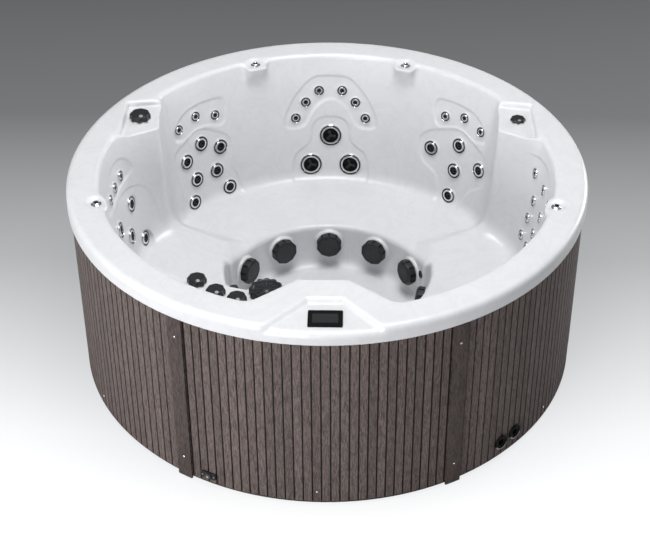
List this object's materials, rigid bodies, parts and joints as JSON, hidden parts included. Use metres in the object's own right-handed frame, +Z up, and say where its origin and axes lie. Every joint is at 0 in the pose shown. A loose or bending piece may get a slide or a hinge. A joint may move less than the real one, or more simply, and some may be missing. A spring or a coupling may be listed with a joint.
{
  "type": "hot tub",
  "caption": "Round free-standing hot tub: moulded seats and footwell, massage jets, wood-grain skirt, control console, filter well and turning knobs.",
  "frame": {"origin": "on the floor under the middle of the tub", "axes": "+Z up, -Y towards the side with the control console, +X to the right of someone facing the console from outside"},
  "size_m": [2.1298, 2.1298, 0.8893],
  "materials": {
    "acrylic": "glossy moulded acrylic",
    "black": "satin",
    "box": "painted",
    "foam": "closed-cell board",
    "motor": "painted",
    "pan": "moulded",
    "paper": "pleated",
    "pipe": "rigid pipe",
    "screen": "gloss",
    "screw": "stainless",
    "skirt": "wood-grain vinyl",
    "strip": "wood-grain vinyl",
    "timber": "planed",
    "trim": "brushed stainless",
    "white_plastic": "satin"
  },
  "bodies": {
    "tub": {"acrylic_shell": "acrylic", "base_pan": "pan", "floor_support": "foam", "lower_frame_ring": "timber", "frame_posts": "timber", "upper_frame_ring": "timber", "skirt_panels": "skirt", "joint_strips": "strip", "panel_screws": "screw", "small_jet_bodies": "pipe", "small_jet_rings": "trim", "small_jet_nozzles": "black", "medium_jet_bodies": "pipe", "large_jet_bodies": "pipe", "suction_bodies": "white_plastic", "suction_covers": "black", "heater_return": "black", "fountain_nozzles": "white_plastic", "valve_bodies": "pipe", "control_panel_bezel": "black", "control_panel_glass": "screen", "massage_pumps": "motor", "circulation_pump": "motor", "heater_unit": "trim", "control_box": "box", "suction_pipes": "pipe", "pressure_pipes": "pipe", "drain_valve": "black", "cable_glands": "black"},
    "medium_face_1": {"medium_jet_face_1": "trim"},
    "medium_face_2": {"medium_jet_face_2": "trim"},
    "medium_face_3": {"medium_jet_face_3": "trim"},
    "medium_face_4": {"medium_jet_face_4": "trim"},
    "medium_face_5": {"medium_jet_face_5": "trim"},
    "medium_face_6": {"medium_jet_face_6": "trim"},
    "medium_face_7": {"medium_jet_face_7": "trim"},
    "medium_face_8": {"medium_jet_face_8": "trim"},
    "medium_face_9": {"medium_jet_face_9": "trim"},
    "medium_face_10": {"medium_jet_face_10": "trim"},
    "medium_face_11": {"medium_jet_face_11": "trim"},
    "medium_face_12": {"medium_jet_face_12": "trim"},
    "medium_face_13": {"medium_jet_face_13": "trim"},
    "medium_face_14": {"medium_jet_face_14": "trim"},
    "medium_face_15": {"medium_jet_face_15": "trim"},
    "medium_face_16": {"medium_jet_face_16": "trim"},
    "large_bezel_1": {"large_jet_bezel_1": "trim"},
    "large_rotor_1": {"large_jet_rotor_1": "black"},
    "large_bezel_2": {"large_jet_bezel_2": "trim"},
    "large_rotor_2": {"large_jet_rotor_2": "black"},
    "large_bezel_3": {"large_jet_bezel_3": "trim"},
    "large_rotor_3": {"large_jet_rotor_3": "black"},
    "diverter_knob": {"diverter_knob": "black"},
    "air_knob": {"air_knob": "black"},
    "valve_knob_1": {"valve_knob_1": "black"},
    "valve_knob_2": {"valve_knob_2": "black"},
    "valve_knob_3": {"valve_knob_3": "black"},
    "filter_cap": {"filter_cap": "black", "filter_cartridge": "paper"},
    "drain_cap": {"drain_cap": "white_plastic"}
  },
  "joints": [
    {"name": "medium_face_1_turn", "type": "hinge", "parent": "tub", "child": "medium_face_1", "pos_m": [-0.58703, 0.65425, 0.575], "axis": [0.658, -0.7334, 0.1709], "range_deg": [-90, 0]},
    {"name": "medium_face_2_turn", "type": "hinge", "parent": "tub", "child": "medium_face_2", "pos_m": [-0.5054, 0.70855, 0.525], "axis": [0.5722, -0.8021, 0.1709], "range_deg": [-90, 0]},
    {"name": "medium_face_3_turn", "type": "hinge", "parent": "tub", "child": "medium_face_3", "pos_m": [-0.64855, 0.57987, 0.523], "axis": [0.7345, -0.6567, 0.1709], "range_deg": [-90, 0]},
    {"name": "medium_face_4_turn", "type": "hinge", "parent": "tub", "child": "medium_face_4", "pos_m": [-0.52333, 0.67225, 0.419], "axis": [0.6052, -0.7775, 0.1709], "range_deg": [-90, 0]},
    {"name": "medium_face_5_turn", "type": "hinge", "parent": "tub", "child": "medium_face_5", "pos_m": [-0.60856, 0.59595, 0.418], "axis": [0.704, -0.6894, 0.1709], "range_deg": [-90, 0]},
    {"name": "medium_face_6_turn", "type": "hinge", "parent": "tub", "child": "medium_face_6", "pos_m": [-0.46892, 0.68999, 0.317], "axis": [0.5538, -0.8149, 0.1709], "range_deg": [-90, 0]},
    {"name": "medium_face_7_turn", "type": "hinge", "parent": "tub", "child": "medium_face_7", "pos_m": [-0.61996, 0.55822, 0.317], "axis": [0.7322, -0.6593, 0.1709], "range_deg": [-90, 0]},
    {"name": "medium_face_8_turn", "type": "hinge", "parent": "tub", "child": "medium_face_8", "pos_m": [0.46632, 0.73198, 0.511], "axis": [-0.5294, -0.831, 0.1709], "range_deg": [-90, 0]},
    {"name": "medium_face_9_turn", "type": "hinge", "parent": "tub", "child": "medium_face_9", "pos_m": [0.58805, 0.65309, 0.574], "axis": [-0.6593, -0.7322, 0.1709], "range_deg": [-90, 0]},
    {"name": "medium_face_10_turn", "type": "hinge", "parent": "tub", "child": "medium_face_10", "pos_m": [0.56997, 0.63972, 0.447], "axis": [-0.6554, -0.7357, 0.1709], "range_deg": [-90, 0]},
    {"name": "medium_face_11_turn", "type": "hinge", "parent": "tub", "child": "medium_face_11", "pos_m": [0.67435, 0.54608, 0.51], "axis": [-0.7657, -0.6201, 0.1709], "range_deg": [-90, 0]},
    {"name": "medium_face_12_turn", "type": "hinge", "parent": "tub", "child": "medium_face_12", "pos_m": [0.54841, 0.62866, 0.317], "axis": [-0.6477, -0.7425, 0.1709], "range_deg": [-90, 0]},
    {"name": "medium_face_13_turn", "type": "hinge", "parent": "tub", "child": "medium_face_13", "pos_m": [-0.8536, 0.1955, 0.556], "axis": [0.9604, -0.22, 0.1709], "range_deg": [-90, 0]},
    {"name": "medium_face_14_turn", "type": "hinge", "parent": "tub", "child": "medium_face_14", "pos_m": [-0.87535, 0.00458, 0.554], "axis": [0.9853, -0.0052, 0.1709], "range_deg": [-90, 0]},
    {"name": "medium_face_15_turn", "type": "hinge", "parent": "tub", "child": "medium_face_15", "pos_m": [-0.84949, 0.11033, 0.446], "axis": [0.9771, -0.1269, 0.1709], "range_deg": [-90, 0]},
    {"name": "medium_face_16_turn", "type": "hinge", "parent": "tub", "child": "medium_face_16", "pos_m": [-0.81048, 0.22324, 0.354], "axis": [0.9499, -0.2616, 0.1709], "range_deg": [-90, 0]},
    {"name": "large_bezel_1_turn", "type": "hinge", "parent": "tub", "child": "large_bezel_1", "pos_m": [0, 0.86478, 0.493], "axis": [0, -0.9853, 0.1709], "range_deg": [-120, 0]},
    {"name": "large_rotor_1_spin", "type": "hinge", "parent": "large_bezel_1", "child": "large_rotor_1", "pos_m": [0, 0.86478, 0.493], "axis": [0, -0.9853, 0.1709], "continuous": true},
    {"name": "large_bezel_2_turn", "type": "hinge", "parent": "tub", "child": "large_bezel_2", "pos_m": [-0.09217, 0.8349, 0.35], "axis": [0.1081, -0.9793, 0.1709], "range_deg": [-120, 0]},
    {"name": "large_rotor_2_spin", "type": "hinge", "parent": "large_bezel_2", "child": "large_rotor_2", "pos_m": [-0.09217, 0.8349, 0.35], "axis": [0.1081, -0.9793, 0.1709], "continuous": true},
    {"name": "large_bezel_3_turn", "type": "hinge", "parent": "tub", "child": "large_bezel_3", "pos_m": [0.09217, 0.8349, 0.35], "axis": [-0.1081, -0.9793, 0.1709], "range_deg": [-120, 0]},
    {"name": "large_rotor_3_spin", "type": "hinge", "parent": "large_bezel_3", "child": "large_rotor_3", "pos_m": [0.09217, 0.8349, 0.35], "axis": [-0.1081, -0.9793, 0.1709], "continuous": true},
    {"name": "diverter_knob_turn", "type": "hinge", "parent": "tub", "child": "diverter_knob", "pos_m": [-0.81547, 0.40836, 0.858], "axis": [0, 0, 1], "range_deg": [-45, 45]},
    {"name": "air_knob_turn", "type": "hinge", "parent": "tub", "child": "air_knob", "pos_m": [0.81547, 0.40836, 0.858], "axis": [0, 0, 1], "range_deg": [-180, 0]},
    {"name": "valve_knob_1_turn", "type": "hinge", "parent": "tub", "child": "valve_knob_1", "pos_m": [-0.47869, -0.6939, 0.813], "axis": [0, 0, 1], "range_deg": [-180, 0]},
    {"name": "valve_knob_2_turn", "type": "hinge", "parent": "tub", "child": "valve_knob_2", "pos_m": [-0.40249, -0.76339, 0.813], "axis": [0, 0, 1], "range_deg": [-180, 0]},
    {"name": "valve_knob_3_turn", "type": "hinge", "parent": "tub", "child": "valve_knob_3", "pos_m": [-0.32057, -0.80556, 0.813], "axis": [0, 0, 1], "range_deg": [-180, 0]},
    {"name": "filter_lift", "type": "slide", "parent": "tub", "child": "filter_cap", "axis": [0, 0, 1], "range_m": [0, 0.4]},
    {"name": "drain_cap_pull", "type": "slide", "parent": "tub", "child": "drain_cap", "axis": [-0.4274, -0.9041, 0], "range_m": [0, 0.06]}
  ]
}
